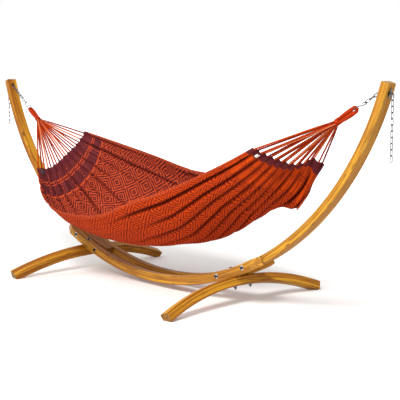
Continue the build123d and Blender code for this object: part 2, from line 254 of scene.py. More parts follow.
beams = {  # arc centre in metres, arc radius, layer thickness, lean of the arc's plane in degrees
    "rail": {"centre": (0.0, 0.0, 1.863), "radius": 1.813, "layer": 0.0125},
    "arm": {"centre": (0.1141, 0.0, 1.6238), "radius": 1.54, "layer": 0.0105},
    "foot": {"centre": (0.64965, 0.0, 0.1437), "radius": 1.433, "layer": 0.0125, "lean": 20.7, "drop": 1.455},
}


# The turn and shift that bring a bar's arc about the origin, into the plane of X and Z
def beamFrame(beam, side):
    turn = Matrix(((side, 0, 0), (0, side, 0), (0, 0, 1)))
    if "lean" in beam:
        lean = math.radians(beam["lean"])
        c, s = math.cos(lean), math.sin(lean)
        turn = Matrix(((0, 1, 0), (c, 0, s), (s, 0, -c))) @ turn
    place = turn @ Vector((beam["centre"][0] * side, 0, beam["centre"][2]))
    place.z += beam.get("drop", 0)
    return turn, place


# How squarely each face of a bar cuts across its grain, kept with the face
def markEnds(mesh, beam, side):
    turn, place = (np.array(part) for part in beamFrame(beam, side))
    facing, centre = np.empty((2, len(mesh.polygons), 3), np.float32)
    mesh.polygons.foreach_get("normal", facing.ravel())
    mesh.polygons.foreach_get("center", centre.ravel())
    centre = centre @ turn.T - place
    grain = unit(centre[:, ::-1] * [-1, 0, 1])
    cut = np.abs((facing @ turn.T * grain).sum(1))
    sawn = eased((cut - woodLook["sawnFrom"]) / woodLook["sawnOver"])
    mesh.attributes.new("endGrain", "FLOAT", "FACE").data.foreach_set("value", sawn.astype(np.float32))


def makeWood(name, beam, side, seed, tone, share):
    material, tree, shader = newMaterial(name)
    turn, place = beamFrame(beam, side)
    spot = add(tree, "TexCoord").outputs["Object"]
    mapping = add(tree, "Mapping", {"Vector": spot, "Location": -place, "Rotation": turn.to_euler("XYZ")})
    bent = useGroup(tree, bentBeam, {"Vector": mapping.outputs[0], "Radius": beam["radius"]})
    end = add(tree, "Attribute", attribute_name="endGrain").outputs["Fac"]
    grain = useGroup(tree, woodGrain, {"Vector": bent[0], "Layer": beam["layer"], "Seed": seed, "End": end})
    color = mixColor(tree, share, grain["Color"], screenColor(*tone))
    finishSurface(tree, shader, color, grain["Roughness"], grain["Height"], woodLook["bump"])
    shader.inputs["Coat Weight"].default_value = woodLook["coat"]
    shader.inputs["Coat Roughness"].default_value = woodLook["coatRoughness"]
    shader.inputs["Specular IOR Level"].default_value = woodLook["specular"]
    return material


woodPieces = {  # beam, side, place in the grain, and a tone laid over the bar with its share: darker on the left arm and on both feet, most on the left foot
    "rail_front": ("rail", 1, 3.0, (214, 164, 84), 0.15),
    "rail_rear": ("rail", 1, 17.0, (214, 164, 84), 0.15),
    "arm_left": ("arm", -1, 29.0, (160, 100, 30), 0.15),
    "arm_right": ("arm", 1, 41.0, (222, 176, 84), 0.15),
    "foot_left": ("foot", -1, 53.0, (120, 70, 12), 0.3),
    "foot_right": ("foot", 1, 67.0, (146, 94, 30), 0.2),
}
for name, (beam, side, seed, tone, share) in woodPieces.items():
    markEnds(nodes[name].data, beams[beam], side)
    dressNode(name, makeWood(name + "_wood", beams[beam], side, seed, tone, share))
print("wood finished:", len(woodPieces), "bars")

zincLook = {
    "cloud": {"Scale": 90.0, "Detail": 4.0},
    "stain": {"Scale": 35.0, "Detail": 6.0},
    "flake": {"Scale": 260.0},
    "stainEdge": (0.58, 0.75),
    "stainTint": ((74, 70, 64), 0.5),
    "cloudRoughness": 0.45,
    "flakeRoughness": 0.14,
    "bump": 0.0002,
}


# Bright zinc plate: faint crystal patches, grey clouding and small stains
def makeZincSkin():
    tree, given, made = newGroup(
        "zincSkin",
        {"Vector": "Vector", "Light": "Color", "Dark": "Color"},
        {"Color": "Color", "Roughness": "Float", "Height": "Float"},
    )
    cloud = add(tree, "TexNoise", {"Vector": given["Vector"], **zincLook["cloud"]}).outputs[0]
    stain = add(tree, "TexNoise", {"Vector": given["Vector"], **zincLook["stain"]}).outputs[0]
    flake = add(tree, "TexVoronoi", {"Vector": given["Vector"], **zincLook["flake"]}).outputs["Color"]
    flake = add(tree, "SeparateColor", {0: flake}).outputs[0]
    color = mixColor(tree, cloud, given["Light"], given["Dark"])
    color = tinted(tree, color, soften(tree, stain, *zincLook["stainEdge"]), *zincLook["stainTint"])
    clouded = calc(tree, "MULTIPLY", cloud, zincLook["cloudRoughness"])
    join(tree, color, made["Color"])
    join(tree, calc(tree, "MULTIPLY_ADD", flake, zincLook["flakeRoughness"], clouded), made["Roughness"])
    join(tree, cloud, made["Height"])
    return tree


zincSkin = makeZincSkin()


def makeZinc(name, light, dark):
    material, tree, shader = newMaterial(name)
    spot = add(tree, "TexCoord").outputs["Object"]
    skin = useGroup(tree, zincSkin, {"Vector": spot, "Light": screenColor(*light), "Dark": screenColor(*dark)})
    finishSurface(tree, shader, skin["Color"], skin["Roughness"], skin["Height"], zincLook["bump"])
    shader.inputs["Metallic"].default_value = 1.0
    return material


metals = {  # finish for the nodes with one of these words in their names; the first that fits is used
    "washers": makeZinc("brightZinc", (236, 236, 238), (200, 201, 204)),
    "bolts": makeZinc("boltSteel", (96, 96, 100), (58, 58, 62)),
    "hook": makeZinc("hookSteel", (92, 93, 97), (52, 53, 57)),
    "bolt pin link chain": makeZinc("chainZinc", (122, 124, 130), (80, 82, 88)),
}
metalCount = 0
for name in nodes:
    fitting = [metal for words, metal in metals.items() if any(word in name for word in words.split())]
    if fitting:
        dressNode(name, fitting[0])
        metalCount += 1
print("metal finished:", metalCount, "nodes")


# Quads between neighbouring rows and columns of each grid of points; a wrapped grid closes round its columns,
# and a capped one has a face over its first and its last row
def meshPiece(name, grids, materials):
    points, corners, places, total, base = [], [], [], [], 0
    for spots, u, v, wrap, capped in grids:
        n, m = spots.shape[:2]
        i = np.arange(n - 1)[:, None, None]
        j = np.arange(m if wrap else m - 1)[None, :, None]
        rows = i + np.array([0, 1, 1, 0])
        columns = j + np.array([0, 0, 1, 1])
        quads = (rows * m + columns % m).reshape(-1)
        corners.append(quads + base)
        uv = np.stack(np.broadcast_arrays(u[:, None], v[None, :]), -1)
        places.append(uv[rows, columns].reshape(-1, 2))
        total.append(np.full(len(quads) // 4, 4))
        if capped:
            ring = np.arange(m)
            corners += [base + ring, base + (n - 1) * m + ring[::-1]]
            places += [uv[0, :m], uv[-1, :m]]
            total.append(np.array([m, m]))
        points.append(spots.reshape(-1, 3))
        base += n * m
    points, corners = np.concatenate(points), np.concatenate(corners)
    total = np.concatenate(total)
    mesh = bpy.data.meshes.new(name)
    mesh.vertices.add(len(points))
    mesh.vertices.foreach_set("co", points.ravel().astype(np.float32))
    mesh.loops.add(len(corners))
    mesh.loops.foreach_set("vertex_index", corners.astype(np.int32))
    mesh.polygons.add(len(total))
    mesh.polygons.foreach_set("loop_start", (np.cumsum(total) - total).astype(np.int32))
    mesh.update(calc_edges=True)
    layer = mesh.uv_layers.new(name="weave")
    layer.data.foreach_set("uv", np.concatenate(places).ravel().astype(np.float32))
    mesh.shade_smooth()
    for material in materials:
        mesh.materials.append(material)
    piece = bpy.data.objects.new(name, mesh)
    bpy.context.scene.collection.objects.link(piece)
    return piece


# Round tube: circles about a path, square to it, with one direction kept as reference
def tube(path, radius, sides, reference):
    run = unit(np.gradient(path, axis=0))
    first = unit(np.cross(run, np.asarray(reference, float)))
    second = np.cross(run, first)
    turn = np.linspace(0, 2 * np.pi, sides, endpoint=False)[None, :, None]
    radius = np.asarray(radius, float)
    radius = radius if radius.ndim == 2 else radius.reshape(-1, 1)  # one for each ring, or one for each point
    ring = np.cos(turn) * first[:, None] - np.sin(turn) * second[:, None]
    spots = path[:, None] + radius[..., None] * ring
    return spots, runLength(path), np.linspace(0, 1, sides + 1), True, True


cloth = {
    "rows": 170,
    "columns": 276,
    "width": 1.05,
    "thickness": 0.0025,
    "doubled": 1.8,  # hems and end bands are this many times as thick
    "single": 0.55,  # and the rest is this share of them
    "hem": 0.016,
    "band": 0.047,
    "scallop": 0.003,  # how far the ends draw in between the cords
    "scallopReach": 0.008,
    # stations along the length, each with its skew, its near hem, low line and far hem
    "x": [-0.95, -0.8, -0.6, -0.35, -0.08, 0.15, 0.4, 0.65, 0.85, 0.97],
    "skew": [0, 0, 0, 0, 0, 0, 0, 0.2, 0.38, 0.38],
    "nearY": [-0.215, -0.285, -0.34, -0.368, -0.38, -0.372, -0.345, -0.285, -0.215, -0.17],
    "nearZ": [0.624, 0.49, 0.42, 0.405, 0.433, 0.515, 0.597, 0.68, 0.772, 0.848],
    "lowY": [-0.13, -0.15, -0.14, -0.09, -0.02, 0.04, 0.09, 0.1, 0.03, 0.07],
    "lowZ": [0.608, 0.42, 0.31, 0.245, 0.222, 0.248, 0.31, 0.47, 0.64, 0.75],
    "farY": [0.157, 0.205, 0.232, 0.25, 0.29, 0.305, 0.31, 0.27, 0.175, 0.2],
    "farZ": [0.838, 0.8, 0.758, 0.709, 0.644, 0.62, 0.58, 0.52, 0.535, 0.765],
}
stationKeys = ("x", "skew", "nearY", "nearZ", "lowY", "lowZ", "farY", "farZ")


# Smooth curve through a station's values: cubic pieces whose slopes are those of the neighbouring stations
def throughStations(key, share):
    x, y = np.array(cloth["x"]), np.array(cloth[key], float)
    slope = np.gradient(y, x)
    place = x[0] + (x[-1] - x[0]) * share
    k = np.clip(np.searchsorted(x, place, side="right") - 1, 0, len(x) - 2)
    step = x[k + 1] - x[k]
    t = (place - x[k]) / step
    a, b = (1 + 2 * t) * (1 - t) ** 2, t * (1 - t) ** 2
    c, d = t**2 * (3 - 2 * t), t**2 * (t - 1)
    return a * y[k] + b * step * slope[k] + c * y[k + 1] + d * step * slope[k + 1]


# Cloth section: two arcs that leave the low line level, one up to each hem, as a radius and a length each
def clothArcs(share):
    value = {key: throughStations(key, share) for key in stationKeys}
    arcs = []
    for hem in ("near", "far"):
        run = np.abs(value[hem + "Y"] - value["lowY"])
        rise = value[hem + "Z"] - value["lowZ"]
        radius = (run**2 + rise**2) / (2 * rise)
        arcs.append((radius, radius * 2 * np.arctan2(rise, run)))
    return value, arcs


def clothWidth(share):  # from hem to hem, round the section
    arcs = clothArcs(share)[1]
    return arcs[0][1] + arcs[1][1]


# Spot on the cloth: so far along, and so far across by the length of the two arcs, lifted square to them
def clothPoint(share, across, lift):
    value, arcs = clothArcs(share)
    place = across * (arcs[0][1] + arcs[1][1]) - arcs[0][1]
    radius = np.where(place < 0, arcs[0][0], arcs[1][0])
    turn = place / radius
    y = value["lowY"] + radius * np.sin(turn) - np.sin(turn) * lift
    z = value["lowZ"] + radius * (1 - np.cos(turn)) + np.cos(turn) * lift
    return np.stack([value["x"] + value["skew"] * y, y, z], -1)


folds = {  # heights in metres, places and reaches as shares of the length, breadths in folds
    "count": 10,
    "first": 0.75,
    "wander": 0.06,
    "parting": 0.45,  # the creases keep to the near hem on its right and to the far hem on its left
    "spread": ([0, 0.2, 0.45, 0.57, 0.7, 0.83, 0.94, 1], [0.5, 0.84, 1.06, 1.05, 0.94, 0.64, 0.48, 0.4]),
    "breadth": 0.105,
    "wider": {"by": 0.06, "from": 0.72, "over": 0.2},
    "right": {"height": 0.044, "from": 0.42, "uneven": 0.1, "over": 0.3},
    "left": {"height": 0.022, "reach": 0.34, "uneven": 0.14, "longest": 8, "longer": 0.55},
    "sunk": 0.12,  # share of a crease's height that the bellies lie below
    "dark": 0.02,  # height from which a crease's painted shade is full
    "endWave": 0.005,
    "endReach": 0.05,
    # painted shade between the waves at the very ends
    "endPaintedShade": 0.8,
    "endRise": 0.12,
    "leftEnd": ([0, 0.18, 0.35, 0.5, 0.65, 0.82, 1], [0, 0.006, 0.03, 0.046, 0.044, 0.026, 0]),
    "rightEnd": ([0, 0.2, 0.4, 0.6, 0.72, 0.85, 1], [0, 0.012, 0.014, 0.006, 0.012, 0.034, -0.016]),
}


# Folds: narrow creases, bell curves across the cloth, stand up between broad bellies, deep near the ends and
# dying away towards the middle; at the very ends they turn into the even wave that the cords are tied to.
# Also how much painted shade each spot gets: dark in a crease, and between the waves at the very ends
def foldLift(share, across):
    even = clothWidth(share) / np.interp(share, *folds["spread"])  # keeps the creases straight
    place = np.where(share > folds["parting"], across * even, 1 - (1 - across) * even)
    turn = place * folds["count"] - folds["first"] + folds["wander"] * np.sin(5 * across + 3 * share)
    crease = np.round(turn)
    wider, rightward, leftward = folds["wider"], folds["right"], folds["left"]
    broad = folds["breadth"] + wider["by"] * eased((share - wider["from"]) / wider["over"])
    ridge = np.exp(-(((turn - crease) / broad) ** 2))
    uneven = 0.7 + 0.3 * np.sin(2.4 * crease + 0.5)  # each crease has a height and a reach of its own
    start = rightward["from"] + rightward["uneven"] * np.sin(1.9 * crease)
    reach = leftward["reach"] + leftward["uneven"] * np.sin(2.7 * crease + 1)
    reach = reach + leftward["longer"] * (crease == leftward["longest"])
    right = eased((share - start) / rightward["over"])
    left = eased(1 - share / reach)
    creased = (rightward["height"] * right + leftward["height"] * left) * uneven
    swell = np.sin(2 * np.pi * folds["count"] * across)
    middle = eased(np.minimum(share, 1 - share) / folds["endReach"])
    rise = folds["endRise"]
    raised = np.interp(across, *folds["rightEnd"]) * eased((share - 1 + rise) / rise)
    raised = raised + np.interp(across, *folds["leftEnd"]) * eased((rise - share) / rise)
    lift = -swell * folds["endWave"] * (1 - middle) + creased * (ridge - folds["sunk"]) * middle + raised
    # painted shade: in each crease by its height, and between the waves at the very ends
    between = ((1 - swell) / 2) ** 4
    depth = ridge * np.minimum(creased / folds["dark"], 1) * middle + folds["endPaintedShade"] * between * (1 - middle)
    return lift, depth


weave = {  # metres
    "stitch": 0.004,  # step in which the figure is woven
    "along": 0.16,  # repeats of the figure
    "across": 0.148,
    "rings": 3.0,  # in each half of a diamond
    "ringEdge": (0.24, 0.32),
    "border": 0.21,
    "lines": ((0.1, 0.004), (0.118, 0.003), (0.2, 0.006)),  # distance from the end and half width
    "dashWidth": 0.05,  # share of a repeat
    "dash": 0.022,
    "dashGap": 0.45,  # share of a dash that is left open
    "bandEdge": (0.046, 0.049, 1.0, 0.0),
    "hemEdge": (0.015, 0.017, 1.0, 0.0),
    "stripes": (55.0, 1.6),  # scale of the yarn stripes across and along
    "thread": 0.0024,
}


# Woven cloth: concentric diamonds on a ground, plain borders with thin lines near the ends, bands and hems
def makeDiamondWeave():
    tree, given, made = newGroup(
        "diamondWeave",
        {"Vector": "Vector", "Width": "Float", "Length": "Float"},
        {key: "Float" for key in ("Figure", "Border", "Band", "Hem", "Shade", "Height")},
    )
    along, across, _ = add(tree, "SeparateXYZ", {0: given["Vector"]}).outputs

    def stepped(value):
        whole = calc(tree, "FLOOR", calc(tree, "DIVIDE", value, weave["stitch"]))
        return calc(tree, "MULTIPLY", whole, weave["stitch"])

    def triangle(value, pitch):  # 0 at the middle of each repeat and 1 at its ends
        part = calc(tree, "FRACT", calc(tree, "DIVIDE", value, pitch))
        return calc(tree, "MULTIPLY", calc(tree, "ABSOLUTE", calc(tree, "SUBTRACT", part, 0.5)), 2.0)

    def near(value, spot, half):
        return calc(tree, "LESS_THAN", calc(tree, "ABSOLUTE", calc(tree, "SUBTRACT", value, spot)), half)

    middle = calc(tree, "SUBTRACT", across, calc(tree, "MULTIPLY", given["Width"], 0.5))
    alongPart = triangle(stepped(along), weave["along"])
    outward = calc(tree, "ADD", alongPart, triangle(stepped(middle), weave["across"]))
    inner = calc(tree, "MINIMUM", outward, calc(tree, "SUBTRACT", 2.0, outward))
    ringPart = calc(tree, "FRACT", calc(tree, "MULTIPLY", inner, weave["rings"]))
    fromRing = calc(tree, "ABSOLUTE", calc(tree, "SUBTRACT", ringPart, 0.5))
    diamonds = soften(tree, fromRing, *weave["ringEdge"])
    fromEnd = calc(tree, "MINIMUM", along, calc(tree, "SUBTRACT", given["Length"], along))
    fromHem = calc(tree, "MINIMUM", across, calc(tree, "SUBTRACT", given["Width"], across))
    figured = calc(tree, "GREATER_THAN", fromEnd, weave["border"])
    runs = calc(tree, "LESS_THAN", triangle(middle, weave["across"]), weave["dashWidth"])
    dashes = calc(tree, "GREATER_THAN", triangle(along, weave["dash"]), weave["dashGap"])
    lines = calc(tree, "MULTIPLY", runs, dashes)
    for line in weave["lines"]:
        lines = calc(tree, "MAXIMUM", lines, near(fromEnd, *line))
    figure = add(tree, "Mix", {0: figured, 2: lines, 3: diamonds}).outputs[0]
    join(tree, figure, made["Figure"])
    join(tree, calc(tree, "SUBTRACT", 1.0, figured), made["Border"])
    join(tree, soften(tree, fromEnd, *weave["bandEdge"]), made["Band"])
    join(tree, soften(tree, fromHem, *weave["hemEdge"]), made["Hem"])
    acrossScale, alongScale = weave["stripes"]
    spot = {0: calc(tree, "MULTIPLY", across, acrossScale), 1: calc(tree, "MULTIPLY", along, alongScale)}
    vector = add(tree, "CombineXYZ", spot).outputs[0]
    join(tree, add(tree, "TexNoise", {"Vector": vector, "Scale": 1.0, "Detail": 3.0}).outputs[0], made["Shade"])
    weft, warp = triangle(along, weave["thread"]), triangle(across, weave["thread"])
    join(tree, calc(tree, "MAXIMUM", weft, warp), made["Height"])
    return tree


diamondWeave = makeDiamondWeave()
uvScale = 0.4  # one metre of cloth is this much of the UV map
clothSides = {  # colours; streak runs through the plain border, lighter as painted sheen on the inside and darker as yarn streaks on the outside, and faint is how far its lines fade
    "clothInside": {
        "ground": (82, 31, 34),
        "figure": (210, 80, 40),
        "plain": (88, 32, 36),
        # painted sheen: lighter streaks along the inside border
        "streak": (136, 62, 66),
        "faint": 0.0,
    },
    "clothOutside": {
        "ground": (214, 70, 4),
        "figure": (122, 32, 16),
        "plain": (216, 74, 6),
        "streak": (150, 38, 10),
        "faint": 0.5,
    },
}
clothTints = {  # colour and the most that it covers
    "hem": ((196, 84, 52), 0.45),
    "band": ((96, 38, 46), 1.0),
    "stripe": ((118, 34, 22), 0.3),
    "thread": ((70, 20, 18), 0.16),
    # painted shade in the creases of the folds
    "crease": ((66, 14, 10), 0.86),
}
clothLook = {
    "streakAndSheenEdge": (0.42, 0.62, 0.0, 0.6),
    "stripeEdge": (0.35, 0.7),
    "roughness": (0.2, 0.8, 0.82, 0.95),
    "bump": 0.0005,
    "specular": 0.08,
}


def makeCloth(name, look):
    material, tree, shader = newMaterial(name)
    spot = add(tree, "UVMap", uv_map="weave").outputs[0]
    metres = add(tree, "Mapping", {"Vector": spot, "Scale": (1 / uvScale, 1 / uvScale, 1)}).outputs[0]
    woven = useGroup(tree, diamondWeave, {"Vector": metres, "Width": cloth["width"], "Length": cloth["length"]})
    # streaks of the border: painted sheen on the inside, darker yarn streaks on the outside
    streaksAndSheen = soften(tree, woven["Shade"], *clothLook["streakAndSheenEdge"])
    border = mixColor(tree, streaksAndSheen, screenColor(*look["plain"]), screenColor(*look["streak"]))
    ground = mixColor(tree, woven["Border"], screenColor(*look["ground"]), border)
    faded = calc(tree, "SUBTRACT", 1.0, calc(tree, "MULTIPLY", woven["Border"], look["faint"]))
    drawn = calc(tree, "MULTIPLY", woven["Figure"], faded)
    color = mixColor(tree, drawn, ground, screenColor(*look["figure"]))
    masks = {
        "hem": woven["Hem"],
        "band": woven["Band"],
        "stripe": soften(tree, woven["Shade"], *clothLook["stripeEdge"]),
        "thread": woven["Height"],
        # painted shade in the creases, from the cloth's crease attribute
        "crease": add(tree, "Attribute", attribute_name="crease").outputs["Fac"],
    }
    for tint, mask in masks.items():
        color = tinted(tree, color, mask, *clothTints[tint])
    roughness = soften(tree, woven["Shade"], *clothLook["roughness"])
    finishSurface(tree, shader, color, roughness, woven["Height"], clothLook["bump"])
    shader.inputs["Specular IOR Level"].default_value = clothLook["specular"]
    return material


# Hammock cloth: a grid of spots along and across, drawn in a little between the cords, with doubled hems
def makeHammockCloth():
    share = np.linspace(0, 1, cloth["rows"])
    across = np.linspace(0, 1, cloth["columns"])
    s, t = np.meshgrid(share, across, indexing="ij")
    lift, paintedCreaseShade = foldLift(s, t)
    spots = clothPoint(s, t, lift)
    scallop = cloth["scallop"] * np.cos(2 * np.pi * folds["count"] * t) ** 2
    inward = np.exp(-s / cloth["scallopReach"]) - np.exp(-(1 - s) / cloth["scallopReach"])
    spots[..., 0] += scallop * inward
    along = runLength(clothPoint(share, np.full_like(share, 0.5), np.zeros_like(share)))
    cloth["length"] = float(along[-1])
    materials = [makeCloth(name, look) for name, look in clothSides.items()]
    grid = (spots, along * uvScale, across * cloth["width"] * uvScale, False, False)
    piece = meshPiece("hammockCloth", [grid], materials)
    # painted shade of the creases, kept with the cloth
    shade = piece.data.attributes.new("crease", "FLOAT", "POINT")
    shade.data.foreach_set("value", paintedCreaseShade.ravel().astype(np.float32))
    hem = piece.vertex_groups.new(name="hem")
    edge = np.minimum(across, 1 - across)[None, :] * cloth["width"]
    end = np.minimum(along, along[-1] - along)[:, None]
    doubled = ((edge < cloth["hem"]) | (end < cloth["band"])).ravel()
    hem.add(np.flatnonzero(doubled).tolist(), 1.0, "REPLACE")
    wall = piece.modifiers.new("thickness", "SOLIDIFY")
    wall.thickness = cloth["thickness"] * cloth["doubled"]
    wall.offset = 0
    wall.vertex_group = "hem"
    wall.thickness_vertex_group = cloth["single"]
    wall.material_offset = 1
    wall.material_offset_rim = 1
    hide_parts("hammock_cloth")
    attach(piece, "hammock")
    print("cloth made:", len(piece.data.polygons), "quads, length", round(cloth["length"], 3))
    return piece


hammockCloth = makeHammockCloth()

# Where each loop meets the cords, the slope of its line in degrees, its length, and its end of the cloth
hanging = {
    "left": {"neck": (-1.25086, 0.0, 0.907775), "slope": 36.3, "loop": 0.1235, "end": 0.0, "upright": False},
    "right": {"neck": (1.29054, 0.0, 0.979274), "slope": 29.9, "loop": 0.1342, "end": 1.0, "upright": True},
}


def hangingLine(side):  # down from the chain towards the cloth
    turn = math.radians(hanging[side]["slope"])
    return np.array([-sideSign[side] * math.cos(turn), 0.0, -math.sin(turn)])


cordLook = {
    "strands": 6.0,  # ridges round a cord
    "lay": 260.0,  # ridges in a metre along it
    "fuzz": (14.0, 3.0),  # scale along and around
    "fuzzRelief": 0.3,
    # share of the painted shade in the grooves between the strands
    "grooveShade": 0.5,
    "roughness": (0.3, 0.7, 0.7, 0.9),
    "bump": 0.0006,
    "specular": 0.08,
}


# Twisted cord: plies with a tone each, with painted shade in the grooves along their twist
def makeCordTwist():
    tree, given, made = newGroup(
        "cordTwist",
        {"Vector": "Vector", "Seed": "Float"},
        {"UnshadedRidge": "Float", "Tone": "Float", "Height": "Float"},
    )
    along, around, _ = add(tree, "SeparateXYZ", {0: given["Vector"]}).outputs
    wound = calc(tree, "MULTIPLY", along, cordLook["lay"])
    wound = calc(tree, "ADD", calc(tree, "MULTIPLY", around, cordLook["strands"]), wound)
    ridge = calc(tree, "PINGPONG", wound, 0.5)
    alongScale, aroundScale = cordLook["fuzz"]
    spot = {
        0: calc(tree, "MULTIPLY", along, alongScale),
        1: calc(tree, "MULTIPLY", around, aroundScale),
        2: given["Seed"],
    }
    vector = add(tree, "CombineXYZ", spot).outputs[0]
    fuzz = add(tree, "TexNoise", {"Vector": vector, "Scale": 1.0, "Detail": 5.0}).outputs[0]
    # ridges of the twist, left free of the painted shade that the grooves get
    join(tree, soften(tree, ridge, 0.0, 0.5), made["UnshadedRidge"])
    join(tree, fuzz, made["Tone"])
    join(tree, calc(tree, "ADD", ridge, calc(tree, "MULTIPLY", fuzz, cordLook["fuzzRelief"])), made["Height"])
    return tree


cordTwist = makeCordTwist()


def makeCordFinish(name, light, dark, seed):
    material, tree, shader = newMaterial(name)
    spot = add(tree, "UVMap", uv_map="weave").outputs[0]
    twist = useGroup(tree, cordTwist, {"Vector": spot, "Seed": seed})
    color = mixColor(tree, twist["Tone"], screenColor(*light), screenColor(*dark))
    # painted shade: the grooves between the strands darkened
    color = tinted(tree, color, calc(tree, "SUBTRACT", 1.0, twist["UnshadedRidge"]), dark, cordLook["grooveShade"])
    roughness = soften(tree, twist["Tone"], *cordLook["roughness"])
    finishSurface(tree, shader, color, roughness, twist["Height"], cordLook["bump"])
    shader.inputs["Specular IOR Level"].default_value = cordLook["specular"]
    return material


cordFinishes = {
    "orange": makeCordFinish("cordOrange", (212, 80, 12), (152, 44, 8), 1.0),
    "red": makeCordFinish("cordRed", (172, 42, 14), (112, 22, 12), 2.0),
    # pale cords: painted highlights among the cords
    "pale": makeCordFinish("paintedHighlightCord", (236, 160, 116), (206, 92, 50), 3.0),
    "loop": makeCordFinish("loopCord", (198, 62, 12), (138, 34, 8), 4.0),
}
fan = {
    "count": 20,
    "rows": 4,  # in which the cords gather at the neck
    "pitch": 0.0053,
    "floor": 0.0033,  # from the neck to where the cords start
    "diameter": 0.0104,
    "plies": 3,
    "ply": 0.0024,
    "spread": 0.0028,
    "lay": 0.036,  # length of a full turn
    "steps": 10,  # in a full turn
    "sides": 6,
    "neck": 0.5,  # drawn tight at the neck, to this share
    "neckReach": 0.3,
    # the pale cords are painted highlights
    "paleEvery": (7, 3),  # every so many cords, starting with this one
    "redEvery": (3, 1),
}


def cordTone(i):
    for tone in ("pale", "red"):
        every, first = fan[tone + "Every"]
        if i % every == first:
            return cordFinishes[tone]
    return cordFinishes["orange"]


# Suspension cords: three plies wound round a straight line from the neck to a fold of the cloth's end
def makeFan(side):
    line = hangingLine(side)
    stack = np.cross(line, yAxis)
    slant = yAxis + 0.01  # in line with no cord
    columns = fan["count"] // fan["rows"]
    index = np.arange(fan["count"])
    column = index // fan["rows"] - (columns - 1) / 2
    row = index % fan["rows"] - (fan["rows"] - 1) / 2
    start = np.array(hanging[side]["neck"]) + line * fan["floor"]
    starts = start + fan["pitch"] * (column[:, None] * yAxis + row[:, None] * stack)
    share = np.full(fan["count"], hanging[side]["end"])
    marks = (index + 0.5) / fan["count"]
    ends = clothPoint(share, marks, foldLift(share, marks)[0])
    for i in index:
        length = float(np.linalg.norm(ends[i] - starts[i]))
        t = np.linspace(0, 1, int(length / fan["lay"] * fan["steps"]))[:, None]
        path = starts[i] + (ends[i] - starts[i]) * t
        run = unit(ends[i] - starts[i])
        first = unit(np.cross(run, slant))
        second = np.cross(run, first)
        turn = 2 * np.pi * t * length / fan["lay"]
        full = fan["neck"] + (1 - fan["neck"]) * eased(t / fan["neckReach"])
        plies = []
        for phase in 2 * np.pi * np.arange(fan["plies"]) / fan["plies"]:
            swing = np.cos(turn + phase) * first + np.sin(turn + phase) * second
            plies.append(tube(path + swing * fan["spread"] * full, fan["ply"] * full, fan["sides"], slant))
        piece = meshPiece(f"{side}Cord{i + 1:02d}", plies, [cordTone(i)])
        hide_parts("suspension_cords_" + side)
        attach(piece, "hammock")
    print(side, "cords made:", fan["count"])


for side in sideSign:
    makeFan(side)

loop = {
    "tube": 0.015,
    "radius": 0.0115,
    "gap": 0.0006,
    "strands": 9,
    "strandSides": 6,
    "lay": 0.4,  # over this length a strand takes the next one's place
    "core": 0.84,  # shares of the bundle's radius
    "lobe": 0.18,
    "belly": 0.42,
    "bellyFrom": 0.5,  # the bundle swells over this share of the way from the neck
    "bellyTo": 0.35,  # and thins again over this share before the tip
    "tipSteps": 160,
    "legSteps": 320,
}


# End loop: a teardrop of parallel cords, two straight legs and a round tip, with the strands as lobes around
def makeLoop(side):
    line = hangingLine(side)
    length = hanging[side]["loop"]
    tip = np.array(hanging[side]["neck"]) - line * length
    half = (loop["tube"] + loop["gap"]) / 2
    reach = length - loop["radius"]
    lean = math.asin(loop["radius"] / math.hypot(reach, half)) - math.atan2(half, reach)
    turn = np.linspace(-lean, math.pi + lean, loop["tipSteps"])
    arc = loop["radius"] * np.stack([np.cos(turn), 1 - np.sin(turn)], -1)
    legLength = (length - arc[0, 1]) / math.cos(lean)
    leg = np.linspace(legLength, 0, loop["legSteps"])[:-1, None] * np.array([-math.sin(lean), math.cos(lean)])
    flat = np.concatenate([arc[0] + leg, arc, (arc[0] + leg)[::-1] * np.array([-1, 1])])
    wide = np.cross(line, yAxis) if hanging[side]["upright"] else yAxis
    path = tip + flat[:, :1] * wide + flat[:, 1:] * line
    far = runLength(path)
    sides = loop["strands"] * loop["strandSides"]
    around = np.linspace(0, 2 * np.pi, sides, endpoint=False)[None, :]
    lobe = np.abs(np.sin(loop["strands"] / 2 * around + np.pi * far[:, None] / loop["lay"]))
    place = np.minimum(far, far[-1] - far)[:, None] / far[-1] * 2  # 0 at the neck, 1 at the tip
    belly = 1 + loop["belly"] * eased(place / loop["bellyFrom"]) * eased((1 - place) / loop["bellyTo"])
    radius = loop["tube"] / 2 * (loop["core"] + loop["lobe"] * lobe) * belly
    bundle = tube(path, radius, sides, np.cross(line, wide))
    piece = meshPiece(side + "EndLoop", [bundle], [cordFinishes["loop"]])
    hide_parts("end_loop_" + side)
    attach(piece, "hammock")
    return lean


binding = {
    "length": 0.018,
    "wall": 0.0015,
    "gap": 0.0003,
    "floor": 0.003,
    "turns": 6,
    "bead": 0.0012,
    "rounding": 0.05,  # share of the barrel in which an end closes
    "pole": 0.05,  # share of the radius that is left at the very end
    "steps": 180,
    "sides": 40,
}


